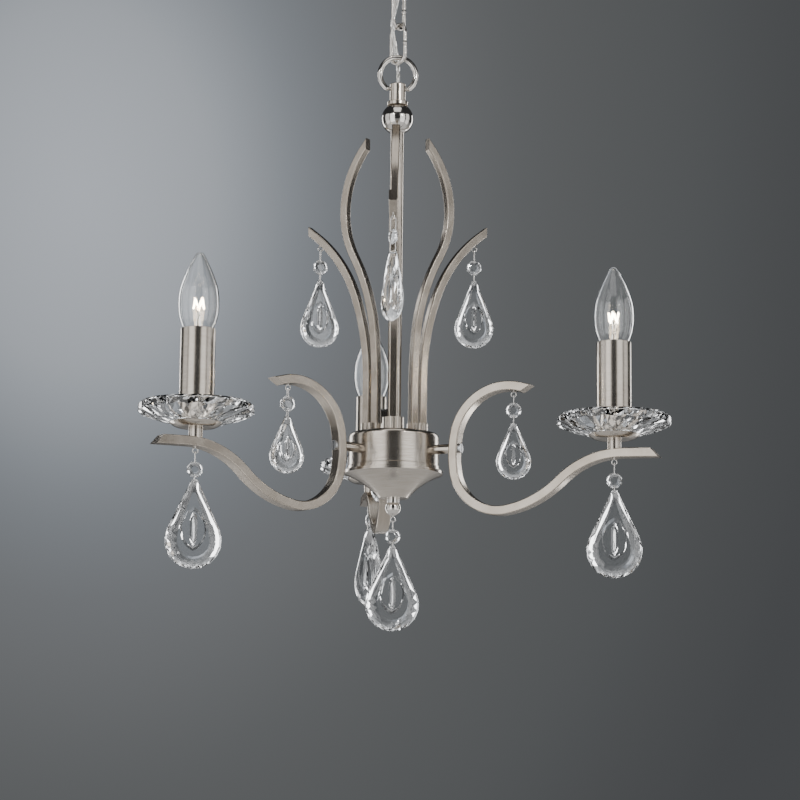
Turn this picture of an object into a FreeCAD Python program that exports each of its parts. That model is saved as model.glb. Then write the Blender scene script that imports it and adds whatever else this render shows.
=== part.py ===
"""Three-light hanging candle chandelier: chain-hung, satin nickel frame, cut-glass pans and drops.

Millimetres. The origin is the middle of the ceiling plate's upper face, which lies against the
ceiling, and +Z points up. The first arm points along +Y. Every level below is measured down
from the top of the swinging loop that the frame hangs from, because the chain sets that level.
"""
import FreeCAD
import Part
import math
import os
from FreeCAD import Vector

# ---------------------------------------------------------------- driving dimensions
ARM_COUNT = 3
ARM_AZIMUTHS = [90.0, 210.0, 330.0]
LEAF_AZIMUTHS = [22.0, 142.0, 262.0]

GAP = 0.4            # between pieces of different bodies that hang in each other
LOOP_GAP = 1.4       # under the loop's crown, as loop and lowest link stand half a quarter turn apart
PIN_FIT = 0.05       # radial play of the loop's pins in the barrel
BODY_CLEARANCE = 0.35

# ceiling side
PLATE_R = 36.0
PLATE_T = 3.0
PLATE_PCD = 52.0
PLATE_HOLE_R = 2.5
PLATE_BOSS_R = 9.0
PLATE_BOSS_DROP = 7.0
NIPPLE_R = 5.0
NIPPLE_BORE_R = 3.2
ROSE_R = 55.0
ROSE_DROP = 36.0
ROSE_WALL = 1.2
ROSE_CORNER_R = 22.0
ROSE_CEILING_GAP = 0.5
COLLAR_R = 9.0
COLLAR_H = 10.0
COLLAR_FLOOR_T = 3.0
NUT_R = 9.2
NUT_H = 4.0
ROSE_LOOP_R = 14.0
ROSE_LOOP_WIRE_R = 2.25
LOOP_SINK = 2.0      # how far the loop's top runs into its collar
GROMMET_X = 24.0
GROMMET_R = 5.0
GROMMET_H = 6.0
GROMMET_GROOVE = 1.2
GROMMET_TOP_H = 1.8
BLOCK_SIZE = (20.0, 26.0, 13.0)
BLOCK_BUMP_R = 3.2
BLOCK_HOLE_R = 1.6
BLOCK_PITCH = 8.0
FLEX_R = 1.75
FLEX_BEND_SHARE = 0.45   # of the shorter run that a bend of the flex may take up

# chain
LINK_LENGTH = 40.0
LINK_WIDTH = 19.0
LINK_WIRE_R = 1.65
LINK_COUNT = 3
LINK_AZIMUTH = -45.0  # plane of the lowest link; the next ones turn a quarter each

# swinging loop and barrel
LOOP_R = 18.8
LOOP_WIRE_R = 2.35
LOOP_PIN_R = 1.5
LOOP_PIN_REACH = 3.4  # how far from the axis the pins end inside the barrel
PIN_END_PLAY = 0.2
BARREL_R = 7.3
BARREL_TOP = 27.8
BARREL_FLANGE_R = 9.6
BARREL_FLANGE_H = 3.6
BARREL_BORE_R = 3.0
BARREL_SEAT_IN = 2.2
BARREL_EDGE = 0.8
BARREL_FLANGE_EDGE = 0.6
BARREL_LEAD_IN = 1.0
ROD_CLIMB = 6.0       # how far the tie rod screws up into the barrel
BALL_R = 14.5
BALL_LEVEL = 60.8
STEM_R = 6.0
STEM_SINK = 2.0       # into the ball
ROD_R = 4.5
ROD_BORE_R = 2.6
ROD_PLAY = 0.2
ROD_SHORT = 0.6       # the tie rod ends this far above the neck's foot
STEM_BORE_R = ROD_R + ROD_PLAY

# hub
DRUM_R = 40.5
DRUM_TOP = 353.0
DRUM_H = 34.0
DRUM_WALL = 1.5
DRUM_EDGE_R = 4.0
DRUM_LIP_H = 4.5
DRUM_LIP_OUT = 0.8
DRUM_LIP_EDGE = 0.5
DRUM_LIP_R = DRUM_R + DRUM_LIP_OUT
FLANGE_OUT = 3.5
FLANGE_R = DRUM_R + FLANGE_OUT
FLANGE_H = 2.4
CONE_H = 24.0
CONE_TIP_R = 13.0
CONE_HOLLOW = 2.2     # how deep the cone's side curves in
CONE_WALL = 1.5
HUB_H = 10.0
HUB_DROP = 16.0       # hub's middle below the drum's top
HUB_LEVEL = DRUM_TOP + HUB_DROP
WIRE_WAY_R = 4.0
WIRE_WAY_AT = 18.0
FINIAL_NECK_R = 5.5
FINIAL_NECK_H = 4.2
FINIAL_R = 7.0

# arms
ARM_T = 8.0
ARM_W = 12.0
ARM_REACH = 245.0
ARM_NOSE_DROP = 5.5   # where the inner bend comes nearest the drum, below the hub's middle
ARM_NOSE_LEVEL = HUB_LEVEL + ARM_NOSE_DROP
ARM_END = 6.0         # straight end of the inner scroll
SPACER_R = 4.3
SPACER_L = 14.5
SCREW_R = 2.4
SCREW_HEAD_R = 4.2
SCREW_HEAD_H = 2.6
SCREW_DEPTH = 14.0    # inside the drum's side
SCREW_END_PLAY = 2.0
SCREW_SLOT = 1.2
SCREW_HEAD_SINK = 1.0
ARM_LEAN = 8.0        # how far the lower edge sticks out at each cut end
ARM_BENDS = [(49.0, 94.5), (101.0, 19.0), (43.3, 90.5), (95.4, 33.4), (-80.5, 44.9)]
ARM_TIP_HEADING = 165.0
EDGE_BREAK = 1.0

# leaves
LEAF_T = 7.0
LEAF_W = 7.5
TALL_FOOT_R = 19.4
SHORT_FOOT_R = 28.4
TALL_RISE = 43.5      # straight foot
SHORT_RISE = 50.0
TALL_BENDS = [(-531.0, 5.5), (-187.0, 23.2), (92.0, 68.0)]
SHORT_BENDS = [(-237.0, 19.0), (-138.8, 33.0)]
TALL_TIP = 4.5        # straight ends
SHORT_TIP = 8.0
TALL_LEAN = 8.4
SHORT_LEAN = 6.0
LEAF_COLLAR_R = 9.6
LEAF_COLLAR_H = 11.0
LEAF_STAND = 0.5
STEM_GAP = 0.2
GROOVE_COUNT = 18
GROOVE_R = 0.7
GROOVE_OUT = 0.25

# candles
CANDLE_R = 207.6
POST_R = 6.0
POST_H = 8.3
CANDLE_NIPPLE_R = 4.0
NIPPLE_SINK = 4.5
NIPPLE_GRIP = 4.0     # into the holder's foot
POST_SINK = 1.0
CUP_R = 22.5
CUP_FLOOR_R = 12.5
CUP_H = 4.2
CUP_WALL = 1.2
CUP_BULGE = (3.2, 0.5)   # its curve's middle in from the rim, and under half its height
TUBE_R = 15.0
TUBE_WALL = 1.0
TUBE_H = 83.0
TUBE_FOOT = 2.2       # the tube's foot above the cup's underside
PAN_R = 50.0
PAN_EDGE_H = 6.5
PAN_DEPTH = 17.0
PAN_TUBE_GAP = 1.3
PAN_HOLE_R = TUBE_R + PAN_TUBE_GAP
PAN_TOP_R = 46.5
PAN_LIP = 2.5         # flat top of the rim
PAN_RIM_DROP = 2.4    # rim's outer corner below its top
PAN_SIDES = 18
PAN_FLOOR_R = 20.0
PAN_FLOOR_T = 5.0
PAN_SEAT_OUT = 2.5    # the pan's flat underside beyond the cup's rim
PAN_SEAT_R = CUP_R + PAN_SEAT_OUT
PAN_BELLY_R = 39.0
PAN_BELLY_RISE = 4.0
CAP_R = 7.0
CAP_H = 25.0
CAP_TIP_R = 2.6
CAP_SHOULDER = (1.0, 1.5)   # its tip's shoulder: out from the tip and up from it
CAP_TAPER = 4.0
CAP_GAP = 0.4
HOLDER_GAP = 0.8
HOLDER_R = TUBE_R - TUBE_WALL - HOLDER_GAP
HOLDER_DROP = 9.5     # its top below the tube's rim
HOLDER_H = 39.0
HOLDER_BORE_R = CAP_R + CAP_GAP
HOLDER_BORE_DEPTH = 29.0
BULB_WALL = 0.8
BULB_MOUTH_GAP = 1.4  # round the bulb where it comes out of the tube
BULB_MOUTH_R = TUBE_R - TUBE_WALL - BULB_MOUTH_GAP
BULB_PROFILE = [
    (7.2, -9.0), (8.8, -6.0), (BULB_MOUTH_R, 0.0), (16.2, 10.0), (17.5, 22.0), (16.3, 35.0), (12.1, 47.5),
    (7.3, 58.0), (4.7, 63.4), (2.6, 66.2),
]
BULB_TIP = 67.2
MOUNT = [(4.5, 0.0), (2.2, 12.0), (1.6, 24.0)]   # the glass stem, up from the envelope's foot
FILAMENT_HALF = 7.0
FILAMENT_AT = 33.0
FILAMENT_R = 0.6
SUPPORT_R = 0.4
SUPPORT_FOOT = (1.0, 22.0)

# drops
WIRE_R = 0.4
EYE_WIRE_R = 0.5
EYE_R = 2.2
EYE_NECK = 1.0
EYE_SHANK_R = 0.7
EYE_SINK = 2.0
HOOK_HALF = 2.6
HOOK_CORNER = 0.9
HOOK_GAP = 0.3
BEAD_R = 7.0
BEAD_T = 5.4
BEAD_TABLE_R = 3.6
BEAD_HOLE_AT = 4.9
DROP_HOLE_R = 0.8
GIRDLE = 0.8          # half the thickness of a cut piece at its rim
PEAR_NECK = 2.2       # half the width of a pear's top
PEAR_HOLE_DOWN = 3.0
PEAR_TABLE = 0.70     # table's size against the outline's
PEAR_SIDES = 12
BEAD_SIDES = 8
LARGE_PEAR = (76.0, 48.0, 12.0)
LEAF_PEAR = (63.0, 36.0, 11.0)
SMALL_PEAR = (50.0, 31.0, 10.0)
LARGE_BEAD_DROP = 19.3   # bead's middle below what it hangs from
CENTRE_BEAD_DROP = 18.5
LEAF_BEAD_DROP = 21.0
SMALL_BEAD_DROP = 17.5
LARGE_LINK = 8.2         # pear's top below the bead's middle
LEAF_LINK = 12.4
SMALL_LINK = 11.4
LEAF_DROP_R = 82.0
SCROLL_DROP_R = 114.8
# each drop hangs free, so its face has turned its own way: azimuth of the face's normal
LARGE_FACES = [206.0, 272.0, 258.0]
SMALL_FACES = [200.0, 282.0, 262.0]
LEAF_FACES = [266.0, 276.0, 200.0]
CENTRE_FACE = 268.0

# ---------------------------------------------------------------- levels worked out from them
ROSE_FLOOR = -ROSE_DROP
LOOP_CENTRE = ROSE_FLOOR - COLLAR_H - ROSE_LOOP_R + LOOP_SINK
LINK_PITCH = LINK_LENGTH - 4 * LINK_WIRE_R - GAP
LINK_TOP = LOOP_CENTRE - ROSE_LOOP_R + 2 * ROSE_LOOP_WIRE_R + GAP + 2 * LINK_WIRE_R
LINK_CENTRES = [LINK_TOP - LINK_LENGTH / 2 - LINK_PITCH * k for k in range(LINK_COUNT)]
CHAIN_FOOT = LINK_CENTRES[-1] - LINK_LENGTH / 2
TOP = CHAIN_FOOT + 2 * LINK_WIRE_R + LOOP_GAP + 2 * LOOP_WIRE_R
HANGING_LOOP_CENTRE = TOP - LOOP_R


def level(depth):
    """Height of something this far below the hanging loop's top."""
    return TOP - depth


DRUM_FOOT = DRUM_TOP + DRUM_H
CONE_FOOT = DRUM_FOOT + CONE_H


# ---------------------------------------------------------------- shape helpers
def on_circle(radius, azimuth, z=0.0):
    a = math.radians(azimuth)
    return Vector(radius * math.cos(a), radius * math.sin(a), z)


def turn(shape, azimuth):
    """A copy turned about the Z axis."""
    out = shape.copy()
    out.rotate(Vector(0, 0, 0), Vector(0, 0, 1), azimuth)
    return out


def move(shape, vector):
    out = shape.copy()
    out.translate(vector)
    return out


def rod(start, end, radius):
    axis = end - start
    return Part.makeCylinder(radius, axis.Length, start, axis)


def pipe(outer, inner, low, high):
    axis_low = Vector(0, 0, low)
    body = Part.makeCylinder(outer, high - low, axis_low)
    return body.cut(Part.makeCylinder(inner, high - low, axis_low))


def edges_through(points):
    """Edges from a closed list of (r, z) corners; a corner given as (mid_r, mid_z, r, z) is an arc."""
    here = Vector(points[0][0], 0, points[0][1])
    first = here
    edges = []
    for point in points[1:]:
        there = Vector(point[-2], 0, point[-1])
        if len(point) == 4:
            edges.append(Part.Arc(here, Vector(point[0], 0, point[1]), there).toShape())
        else:
            edges.append(Part.LineSegment(here, there).toShape())
        here = there
    if (here - first).Length > 1e-6:
        edges.append(Part.LineSegment(here, first).toShape())
    return edges


def turned(points):
    """A solid turned about Z from its half outline."""
    face = Part.Face(Part.Wire(edges_through(points)))
    return face.revolve(Vector(0, 0, 0), Vector(0, 0, 1), 360)


def wire_ring(radius, wire_radius, centre, azimuth):
    """A round ring standing in the vertical plane of that azimuth."""
    normal = on_circle(1.0, azimuth + 90.0)
    return Part.makeTorus(radius, wire_radius, centre, normal)


def swept_tube(path_edges, radius):
    """A round bar along tangent edges."""
    path = Part.Wire(path_edges)
    start = path_edges[0].valueAt(path_edges[0].FirstParameter)
    tangent = path_edges[0].tangentAt(path_edges[0].FirstParameter)
    ring = Part.Wire(Part.makeCircle(radius, start, tangent))
    return path.makePipeShell([ring], True, False)


def rounded_path(points, corner, closed=False):
    """Straight runs through the points, joined by tangent arcs; corner(k) is the radius at point k."""
    count = len(points)
    inner = range(count) if closed else range(1, count - 1)
    trims = {}
    arcs = {}
    for k in inner:
        before = points[k - 1] - points[k]
        after = points[(k + 1) % count] - points[k]
        half = (math.pi - before.getAngle(after)) / 2
        trim = corner(k) * math.tan(half)
        p, q = Vector(before), Vector(after)
        p.normalize()
        q.normalize()
        bisector = p + q
        bisector.normalize()
        middle = points[k] + bisector * (corner(k) / math.cos(half) - corner(k))
        trims[k] = (points[k] + p * trim, points[k] + q * trim)
        arcs[k] = Part.Arc(trims[k][0], middle, trims[k][1]).toShape()
    edges = []
    for k in range(count if closed else count - 1):
        following = (k + 1) % count
        start = trims[k][1] if k in trims else points[k]
        end = trims[following][0] if following in trims else points[following]
        if (end - start).Length > 1e-6:
            edges.append(Part.LineSegment(start, end).toShape())
        if following in arcs:
            edges.append(arcs[following])
    return edges


def route_radius(points, k):
    """The arc at a cord's point: as large as its two runs allow."""
    before = points[k - 1] - points[k]
    after = points[k + 1] - points[k]
    half = (math.pi - before.getAngle(after)) / 2
    return FLEX_BEND_SHARE * min(before.Length, after.Length) / math.tan(half)


# ---------------------------------------------------------------- bent bars
def walk(start, heading, legs):
    """Stations of a bar's middle line.

    A leg is (length,) or (radius, sweep), and a radius below 0 bends right.
    """
    r, z = start
    stations = []
    for leg in legs:
        a = math.radians(heading)
        if len(leg) == 1:
            end = (r + leg[0] * math.cos(a), z + leg[0] * math.sin(a))
            stations.append(("line", (r, z), end, heading, heading))
        else:
            radius, sweep = leg
            side = 1.0 if radius > 0 else -1.0
            centre = (r - radius * math.sin(a), z + radius * math.cos(a))
            new = heading + side * sweep
            b = math.radians(new)
            end = (centre[0] + radius * math.sin(b), centre[1] - radius * math.cos(b))
            stations.append(("arc", (r, z), end, heading, new))
        r, z = end
        heading = stations[-1][4]
    return stations


def beside(point, heading, offset, ahead=0.0):
    """A point moved left of the heading by offset, and ahead along it."""
    a = math.radians(heading)
    r = point[0] - offset * math.sin(a) + ahead * math.cos(a)
    z = point[1] + offset * math.cos(a) + ahead * math.sin(a)
    return Vector(r, 0, z)


def side_edges(stations, offset, lean_first, lean_last):
    edges = []
    for k, (kind, start, end, heading, new) in enumerate(stations):
        back = lean_first if k == 0 else 0.0
        front = lean_last if k == len(stations) - 1 else 0.0
        p = beside(start, heading, offset, back)
        q = beside(end, new, offset, front)
        if kind == "line":
            edges.append(Part.LineSegment(p, q).toShape())
            continue
        half = math.radians((heading + new) / 2)
        radius, centre = arc_of(stations[k])
        reach = radius - offset
        middle = Vector(centre.x + reach * math.sin(half), 0, centre.z - reach * math.cos(half))
        edges.append(Part.Arc(p, middle, q).toShape())
    return edges


def bent_bar(stations, thickness, width, lean_first, lean_last):
    """A flat bar bent edgewise in the XZ plane.

    A lean is how far that end's left side runs ahead of its right.
    """
    left = side_edges(stations, thickness / 2, lean_first / 2, lean_last / 2)
    right = side_edges(stations, -thickness / 2, -lean_first / 2, -lean_last / 2)
    caps = [
        Part.LineSegment(left[-1].Vertexes[-1].Point, right[-1].Vertexes[-1].Point).toShape(),
        Part.LineSegment(right[0].Vertexes[0].Point, left[0].Vertexes[0].Point).toShape(),
    ]
    outline = Part.Wire(Part.__sortEdges__(left + right + caps))
    face = Part.Face(outline)
    bar = move(face, Vector(0, -width / 2, 0)).extrude(Vector(0, width, 0))
    flat_ends = [e.CenterOfMass for e in caps]
    long_edges = []
    for edge in bar.Edges:
        mid = edge.CenterOfMass
        on_side = all(abs(abs(v.Y) - width / 2) < 1e-6 for v in edge.Vertexes)
        across = len(edge.Vertexes) == 2 and abs(edge.Vertexes[0].Y - edge.Vertexes[1].Y) > 1e-6
        at_end = any((Vector(mid.x, 0, mid.z) - end).Length < 1e-3 for end in flat_ends)
        if on_side and not across and not at_end:
            long_edges.append(edge)
    return bar.makeFillet(EDGE_BREAK, long_edges)


def arc_of(station):
    """(radius, below 0 where it bends right; centre) of an arc station."""
    kind, start, end, heading, new = station
    chord = math.hypot(end[0] - start[0], end[1] - start[1])
    radius = chord / 2 / math.sin(math.radians(new - heading) / 2)
    return radius, beside(start, heading, radius)


def bar_height(stations, r):
    """(height, heading) of the middle line at the first station that spans this radius."""
    for station in stations:
        kind, start, end, heading, new = station
        low, high = sorted((start[0], end[0]))
        if not low <= r <= high:
            continue
        if kind == "line":
            share = (r - start[0]) / (end[0] - start[0])
            return start[1] + share * (end[1] - start[1]), heading
        radius, centre = arc_of(station)
        b = math.asin((r - centre.x) / radius)
        if math.cos(math.radians((heading + new) / 2)) < 0:
            b = math.pi - b
        return centre.z - radius * math.cos(b), math.degrees(b)
    raise ValueError("the bar doesn't pass that radius")


def arm_line():
    """The arm's middle line, placed so that its inner bend touches the spacer at the hub's level."""
    legs = [(ARM_END,)] + ARM_BENDS
    trial = walk((0.0, 0.0), ARM_TIP_HEADING, legs)
    nose = next(s for s in trial if s[0] == "arc" and s[3] < 270.0 <= s[4])
    radius, centre = arc_of(nose)
    start = (DRUM_R + SPACER_L + ARM_T / 2 - (centre.x - radius), level(ARM_NOSE_LEVEL) - centre.z)
    kind, bend_start, bend_end, before, heading = walk(start, ARM_TIP_HEADING, legs)[-1]
    run = (ARM_REACH - bend_end[0]) / math.cos(math.radians(heading))
    return walk(start, ARM_TIP_HEADING, legs + [(run,)])


ARM_LINE = arm_line()
ARM_TOP_AT_CANDLE = bar_height(ARM_LINE[-2:], CANDLE_R)[0] + ARM_T / 2
TALL_LINE = walk(
    (TALL_FOOT_R, level(DRUM_TOP) + LEAF_STAND), 90.0, [(TALL_RISE,)] + TALL_BENDS + [(TALL_TIP,)]
)
SHORT_LINE = walk(
    (SHORT_FOOT_R, level(DRUM_TOP) + LEAF_STAND), 90.0, [(SHORT_RISE,)] + SHORT_BENDS + [(SHORT_TIP,)]
)
CUP_FOOT = ARM_TOP_AT_CANDLE + POST_H
CUP_RIM = CUP_FOOT + CUP_H
TUBE_LOW = CUP_FOOT + TUBE_FOOT
TUBE_TOP = TUBE_LOW + TUBE_H
CONE_LEVEL = level(CONE_FOOT)
FINIAL_CENTRE = CONE_LEVEL - FINIAL_NECK_H - math.sqrt(FINIAL_R ** 2 - FINIAL_NECK_R ** 2)
FINIAL_FOOT = FINIAL_CENTRE - FINIAL_R


# ---------------------------------------------------------------- ceiling side
def ceiling_plate():
    plate = turned([
        (0.0, 0.0), (PLATE_R, 0.0), (PLATE_R, -PLATE_T), (PLATE_BOSS_R, -PLATE_T),
        (PLATE_BOSS_R, -PLATE_BOSS_DROP), (NIPPLE_R, -PLATE_BOSS_DROP), (NIPPLE_R, -PLATE_T),
        (0.0, -PLATE_T),
    ])
    for k in range(3):
        at = on_circle(PLATE_PCD / 2, 90.0 + 120.0 * k, -PLATE_T)
        plate = plate.cut(Part.makeCylinder(PLATE_HOLE_R, PLATE_T, at))
    return plate


def rose_fixings():
    """The threaded tube that the rose and its loop hang from, and the nut above the rose."""
    tube_foot = ROSE_FLOOR - COLLAR_H + COLLAR_FLOOR_T
    nut_low = ROSE_FLOOR + ROSE_WALL
    tube = pipe(NIPPLE_R, NIPPLE_BORE_R, tube_foot, -PLATE_T)
    corners = [on_circle(NUT_R, 60.0 * k, nut_low) for k in range(7)]
    nut = Part.Face(Part.makePolygon(corners)).extrude(Vector(0, 0, NUT_H))
    nut = nut.cut(Part.makeCylinder(NIPPLE_R, NUT_H, Vector(0, 0, nut_low)))
    return Part.makeCompound([tube, nut])


def ceiling_rose():
    top = -ROSE_CEILING_GAP
    corner = ROSE_CORNER_R
    bend = corner * math.cos(math.radians(45.0))
    outer = [
        (0.0, top), (ROSE_R, top), (ROSE_R, ROSE_FLOOR + corner),
        (ROSE_R - corner + bend, ROSE_FLOOR + corner - bend, ROSE_R - corner, ROSE_FLOOR),
        (0.0, ROSE_FLOOR),
    ]
    inner_r = ROSE_R - ROSE_WALL
    inner_floor = ROSE_FLOOR + ROSE_WALL
    small = corner - ROSE_WALL
    small_bend = small * math.cos(math.radians(45.0))
    inner = [
        (0.0, top), (inner_r, top), (inner_r, inner_floor + small),
        (inner_r - small + small_bend, inner_floor + small - small_bend, inner_r - small, inner_floor),
        (0.0, inner_floor),
    ]
    rose = turned(outer).cut(turned(inner))
    rose = rose.cut(Part.makeCylinder(NIPPLE_R, ROSE_WALL, Vector(0, 0, ROSE_FLOOR)))
    side_hole = Part.makeCylinder(GROMMET_R - GROMMET_GROOVE, ROSE_WALL, Vector(GROMMET_X, 0, ROSE_FLOOR))
    return rose.cut(side_hole)


def rose_loop():
    foot = ROSE_FLOOR - COLLAR_H
    collar = pipe(COLLAR_R, NIPPLE_R, foot + COLLAR_FLOOR_T, ROSE_FLOOR)
    floor = Part.makeCylinder(COLLAR_R, COLLAR_FLOOR_T, Vector(0, 0, foot))
    ring = wire_ring(
        ROSE_LOOP_R - ROSE_LOOP_WIRE_R, ROSE_LOOP_WIRE_R, Vector(0, 0, LOOP_CENTRE), link_azimuth(-1)
    )
    return collar.fuse([floor, ring]).removeSplitter()


def flex_grommet():
    """A rubber bush gripped by the rose's side hole."""
    hole = GROMMET_R - GROMMET_GROOVE
    low = ROSE_FLOOR - GROMMET_H / 2
    flange_low = Part.makeCylinder(GROMMET_R, GROMMET_H / 2, Vector(GROMMET_X, 0, low))
    waist = Part.makeCylinder(hole, ROSE_WALL, Vector(GROMMET_X, 0, ROSE_FLOOR))
    above = Part.makeCylinder(GROMMET_R, GROMMET_TOP_H, Vector(GROMMET_X, 0, ROSE_FLOOR + ROSE_WALL))
    body = flange_low.fuse([waist, above])
    bore = Part.makeCylinder(FLEX_R, 3 * GROMMET_H, Vector(GROMMET_X, 0, low - GROMMET_H))
    return body.cut(bore).removeSplitter()


def terminal_block():
    """A three-way block screwed under the plate, with its wire holes downwards."""
    length, width, height = BLOCK_SIZE
    low = -PLATE_T - height
    block = Part.makeBox(length, width, height, Vector(GROMMET_X - length / 2, -width / 2, low))
    end = GROMMET_X - length / 2
    along = Vector(1, 0, 0)
    for k in (-1, 0, 1):
        bump = Part.makeCylinder(BLOCK_BUMP_R, length, Vector(end, BLOCK_PITCH * k, low), along)
        block = block.fuse(bump)
    for k in (-1, 1):
        hole = Part.makeCylinder(BLOCK_HOLE_R, length, Vector(end, BLOCK_PITCH * k, low), along)
        block = block.cut(hole)
    return block.removeSplitter()


def flex_points():
    """The flex from the barrel up through the loop, woven a quarter turn per link, into the rose."""
    crossings = [TOP - 4.5 + LINK_PITCH * k for k in range(LINK_COUNT + 1)]
    half = LINK_PITCH / 2
    points = [
        Vector(0.0, 0.0, TOP - 38.0),
        Vector(0.0, 0.0, TOP - 27.0),
        Vector(0.6, 3.4, TOP - 16.0),
        on_circle(5.7, 90.0, crossings[0]),
        on_circle(4.2, 135.0, crossings[0] + half),
        on_circle(5.7, 180.0, crossings[1]),
        on_circle(4.2, 225.0, crossings[1] + half),
        on_circle(5.7, 270.0, crossings[2]),
        on_circle(4.3, 315.0, crossings[2] + half),
        on_circle(7.0, 0.0, crossings[3] - 1.0),
        Vector(13.5, 0.3, crossings[3] + 10.0),
        Vector(21.8, 0.0, crossings[3] + 19.0),
        Vector(GROMMET_X, 0.0, ROSE_FLOOR - 4.0),
    ]
    block_foot = -PLATE_T - BLOCK_SIZE[2] - BLOCK_BUMP_R
    points.append(Vector(GROMMET_X, 0.0, block_foot))
    return points


def flex():
    points = flex_points()
    radii = [route_radius(points, k) for k in range(1, len(points) - 1)]
    return swept_tube(rounded_path(points, lambda k: radii[k - 1]), FLEX_R)


# ---------------------------------------------------------------- chain and swinging loop
def link_azimuth(k):
    """Plane of link k counted from the ceiling; -1 is the rose's loop."""
    return LINK_AZIMUTH + 90.0 * (LINK_COUNT - 1 - k)


def chain_link(k):
    half_width = LINK_WIDTH / 2 - LINK_WIRE_R
    straight = LINK_LENGTH / 2 - LINK_WIRE_R - half_width
    side = on_circle(1.0, link_azimuth(k))
    centre = Vector(0, 0, LINK_CENTRES[k])
    up = Vector(0, 0, 1)
    corners = [
        centre + side * half_width - up * straight, centre + side * half_width + up * straight,
        centre - side * half_width + up * straight, centre - side * half_width - up * straight,
    ]
    edges = []
    for a, b, sign in ((0, 1, 1.0), (2, 3, -1.0)):
        edges.append(Part.LineSegment(corners[a], corners[b]).toShape())
        middle = centre + up * sign * (straight + half_width)
        edges.append(Part.Arc(corners[b], middle, corners[(b + 1) % 4]).toShape())
    return swept_tube(edges, LINK_WIRE_R)


def loop_end():
    """(distance from the axis, depth below the loop's centre) of each end of the open ring."""
    out = BARREL_R + BODY_CLEARANCE + LOOP_WIRE_R
    ring = LOOP_R - LOOP_WIRE_R
    return out, math.sqrt(ring ** 2 - out ** 2)


def pin_height():
    return HANGING_LOOP_CENTRE - loop_end()[1]


def top_loop():
    """An open ring whose two ends carry pins that turn in the barrel's sides."""
    out, depth = loop_end()
    centre = Vector(0, 0, HANGING_LOOP_CENTRE)
    left = centre + Vector(-out, 0, -depth)
    right = centre + Vector(out, 0, -depth)
    crown = centre + Vector(0, 0, LOOP_R - LOOP_WIRE_R)
    ring = swept_tube([Part.Arc(left, crown, right).toShape()], LOOP_WIRE_R)
    pieces = []
    for end, sign in ((left, -1.0), (right, 1.0)):
        pieces.append(Part.makeSphere(LOOP_WIRE_R, end))
        pieces.append(rod(end, Vector(sign * LOOP_PIN_REACH, 0, end.z), LOOP_PIN_R))
    return ring.fuse(pieces).removeSplitter()


# ---------------------------------------------------------------- middle column
def barrel_foot():
    """The flange stands on the ball where the ball is as wide as the flange's bore."""
    return level(BALL_LEVEL) + math.sqrt(BALL_R ** 2 - (BARREL_FLANGE_R - BARREL_SEAT_IN) ** 2)


def loop_barrel():
    top = level(BARREL_TOP)
    foot = barrel_foot()
    shoulder = foot + BARREL_FLANGE_H
    body = turned([
        (BARREL_BORE_R, top), (BARREL_R - BARREL_EDGE, top), (BARREL_R, top - BARREL_EDGE),
        (BARREL_R, shoulder), (BARREL_FLANGE_R - BARREL_FLANGE_EDGE, shoulder),
        (BARREL_FLANGE_R, shoulder - BARREL_FLANGE_EDGE), (BARREL_FLANGE_R, foot),
        (BARREL_FLANGE_R - BARREL_SEAT_IN, foot), (ROD_R, foot + BARREL_LEAD_IN),
        (ROD_R, foot + ROD_CLIMB), (BARREL_BORE_R, foot + ROD_CLIMB),
    ])
    body = body.cut(Part.makeSphere(BALL_R, Vector(0, 0, level(BALL_LEVEL))))
    for sign in (-1.0, 1.0):
        start = Vector(sign * (LOOP_PIN_REACH - PIN_END_PLAY), 0, pin_height())
        body = body.cut(rod(start, start + Vector(sign * BARREL_R, 0, 0), LOOP_PIN_R + PIN_FIT))
    return body


def top_ball():
    ball = Part.makeSphere(BALL_R, Vector(0, 0, level(BALL_LEVEL)))
    bore = Part.makeCylinder(ROD_R, 4 * BALL_R, Vector(0, 0, level(BALL_LEVEL) - 2 * BALL_R))
    seat = Part.makeCylinder(STEM_R, 2 * BALL_R, Vector(0, 0, stem_top() - 2 * BALL_R))
    return ball.cut(bore).cut(seat)


def stem_top():
    """The stem tube ends a little way inside the ball."""
    return level(BALL_LEVEL) - math.sqrt(BALL_R ** 2 - STEM_R ** 2) + STEM_SINK


def stem_tube():
    return pipe(STEM_R, STEM_BORE_R, level(DRUM_TOP), stem_top())


def tie_rod():
    """Hollow threaded rod that clamps barrel, ball, stem, drum, hub, cone and finial together."""
    return pipe(ROD_R, ROD_BORE_R, CONE_LEVEL - FINIAL_NECK_H + ROD_SHORT, barrel_foot() + ROD_CLIMB)


# ---------------------------------------------------------------- hub
def drum():
    top = level(DRUM_TOP)
    foot = level(DRUM_FOOT)
    lip = foot + DRUM_LIP_H
    edge = DRUM_EDGE_R
    bend = edge * math.cos(math.radians(45.0))
    inner_edge = edge - DRUM_WALL
    inner_bend = inner_edge * math.cos(math.radians(45.0))
    inner_r = DRUM_R - DRUM_WALL
    shell = turned([
        (ROD_R, top), (DRUM_R - edge, top), (DRUM_R - edge + bend, top - edge + bend, DRUM_R, top - edge),
        (DRUM_R, lip), (DRUM_LIP_R, lip - DRUM_LIP_EDGE), (DRUM_LIP_R, foot), (inner_r, foot),
        (inner_r, top - edge),
        (inner_r - inner_edge + inner_bend, top - edge + inner_bend, inner_r - inner_edge, top - DRUM_WALL),
        (ROD_R, top - DRUM_WALL),
    ])
    for azimuth in ARM_AZIMUTHS:
        start = on_circle(DRUM_R - 2 * DRUM_WALL, azimuth, level(HUB_LEVEL))
        shell = shell.cut(rod(start, start + on_circle(4 * DRUM_WALL, azimuth), SCREW_R))
    return shell


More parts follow.
